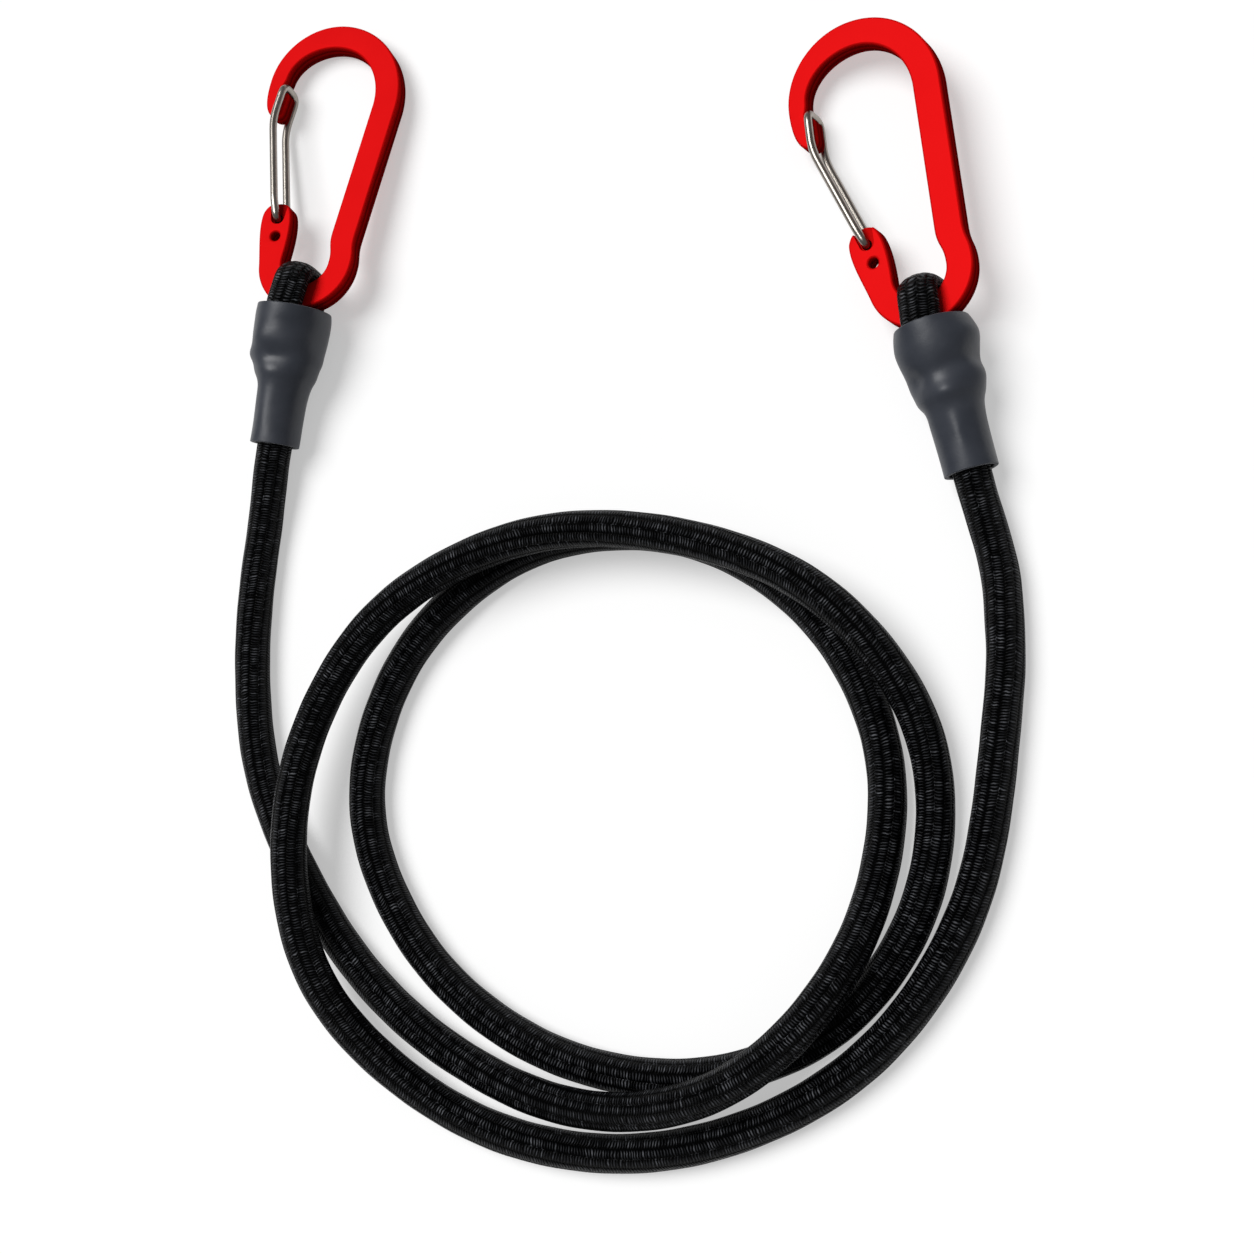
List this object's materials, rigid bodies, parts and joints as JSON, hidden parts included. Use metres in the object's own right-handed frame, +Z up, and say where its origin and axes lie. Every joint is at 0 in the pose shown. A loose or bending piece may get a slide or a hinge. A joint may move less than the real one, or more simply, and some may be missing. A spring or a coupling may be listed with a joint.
{
  "type": "bungee cord",
  "caption": "Braided elastic cord laid in loose loops, with a flat wire-gate carabiner held in a crimped and sleeved loop at each end.",
  "frame": {"origin": "on the surface that the cord lies on, below the middle of the box round its two ends, the carabiners with their loops and sleeves", "axes": "+Z up; +Y from the loops of cord towards the crowns of the carabiners; +X to the right as pictured"},
  "size_m": [0.201, 0.2986, 0.021],
  "materials": {
    "braid": "satin braid",
    "rubber": "plain latex strands",
    "sleeve": "satin, slightly wrinkled",
    "carabiner": "red anodised, satin",
    "wire": "bright stainless wire",
    "crimp": "plain"
  },
  "bodies": {
    "cord": {"cord_jacket": "braid", "cord_core": "rubber", "left_loop_jacket": "braid", "left_loop_core": "rubber", "left_crimp": "crimp", "left_sleeve": "sleeve", "right_loop_jacket": "braid", "right_loop_core": "rubber", "right_crimp": "crimp", "right_sleeve": "sleeve"},
    "left_carabiner": {"left_carabiner_body": "carabiner"},
    "left_gate": {"left_wire_gate": "wire"},
    "right_carabiner": {"right_carabiner_body": "carabiner"},
    "right_gate": {"right_wire_gate": "wire"}
  },
  "joints": [
    {"name": "left_carabiner_swing", "type": "hinge", "parent": "cord", "child": "left_carabiner", "pos_m": [-0.08049, 0.00072, 0.0096], "axis": [0.0238, 0.0963, 0.9951], "range_deg": [-86, 66]},
    {"name": "left_gate_pivot", "type": "hinge", "parent": "left_carabiner", "child": "left_gate", "pos_m": [-0.08972, 0.01418, 0.00852], "axis": [-0.0238, -0.0963, -0.9951], "range_deg": [0, 38], "stiffness_Nm_per_rad": 0.03, "springref_deg": -22.92},
    {"name": "right_carabiner_swing", "type": "hinge", "parent": "cord", "child": "right_carabiner", "pos_m": [0.08073, -0.02061, 0.01049], "axis": [-0.2416, -0.0164, 0.9702], "range_deg": [-86, 66]},
    {"name": "right_gate_pivot", "type": "hinge", "parent": "right_carabiner", "child": "right_gate", "pos_m": [0.06775, -0.01113, 0.00742], "axis": [0.2416, 0.0164, -0.9702], "range_deg": [0, 38], "stiffness_Nm_per_rad": 0.03, "springref_deg": -22.92}
  ]
}
